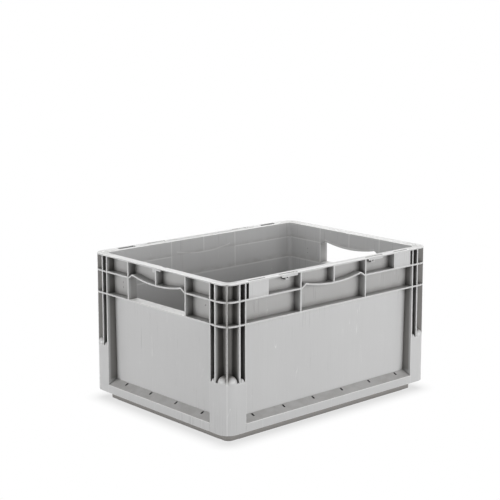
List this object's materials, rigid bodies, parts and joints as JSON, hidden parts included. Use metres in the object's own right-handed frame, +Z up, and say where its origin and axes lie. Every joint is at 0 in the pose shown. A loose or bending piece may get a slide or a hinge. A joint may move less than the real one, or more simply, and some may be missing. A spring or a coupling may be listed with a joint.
{
  "type": "stacking crate",
  "caption": "Rigid open-topped stacking crate with ribbed corner posts, a ribbed rim band, hand holes in the short sides, closed grips in the long sides and a nesting foot",
  "frame": {"origin": "centre of the foot, on the plane the crate stands on", "axes": "+X along the 400 mm side to the right end, +Y along the 300 mm side to the back, +Z up"},
  "size_m": [0.4, 0.3, 0.22],
  "materials": {
    "grey_polypropylene": "light grey moulded polypropylene with a fine satin texture, lightly scuffed"
  },
  "bodies": {
    "root": {"floor_panel": "grey_polypropylene", "underside_ribs": "grey_polypropylene", "front_wall": "grey_polypropylene", "back_wall": "grey_polypropylene", "left_end_wall": "grey_polypropylene", "right_end_wall": "grey_polypropylene", "corner_post_front_left": "grey_polypropylene", "corner_post_front_right": "grey_polypropylene", "corner_post_back_left": "grey_polypropylene", "corner_post_back_right": "grey_polypropylene", "top_rim": "grey_polypropylene", "upper_band_ribs": "grey_polypropylene", "lower_band_ribs": "grey_polypropylene", "front_grip": "grey_polypropylene", "back_grip": "grey_polypropylene", "left_handle": "grey_polypropylene", "right_handle": "grey_polypropylene", "label_pad_front_left": "grey_polypropylene", "label_pad_front_right": "grey_polypropylene", "label_pad_back_left": "grey_polypropylene", "label_pad_back_right": "grey_polypropylene", "front_skirt": "grey_polypropylene", "back_skirt": "grey_polypropylene", "left_skirt": "grey_polypropylene", "right_skirt": "grey_polypropylene"}
  },
  "joints": []
}
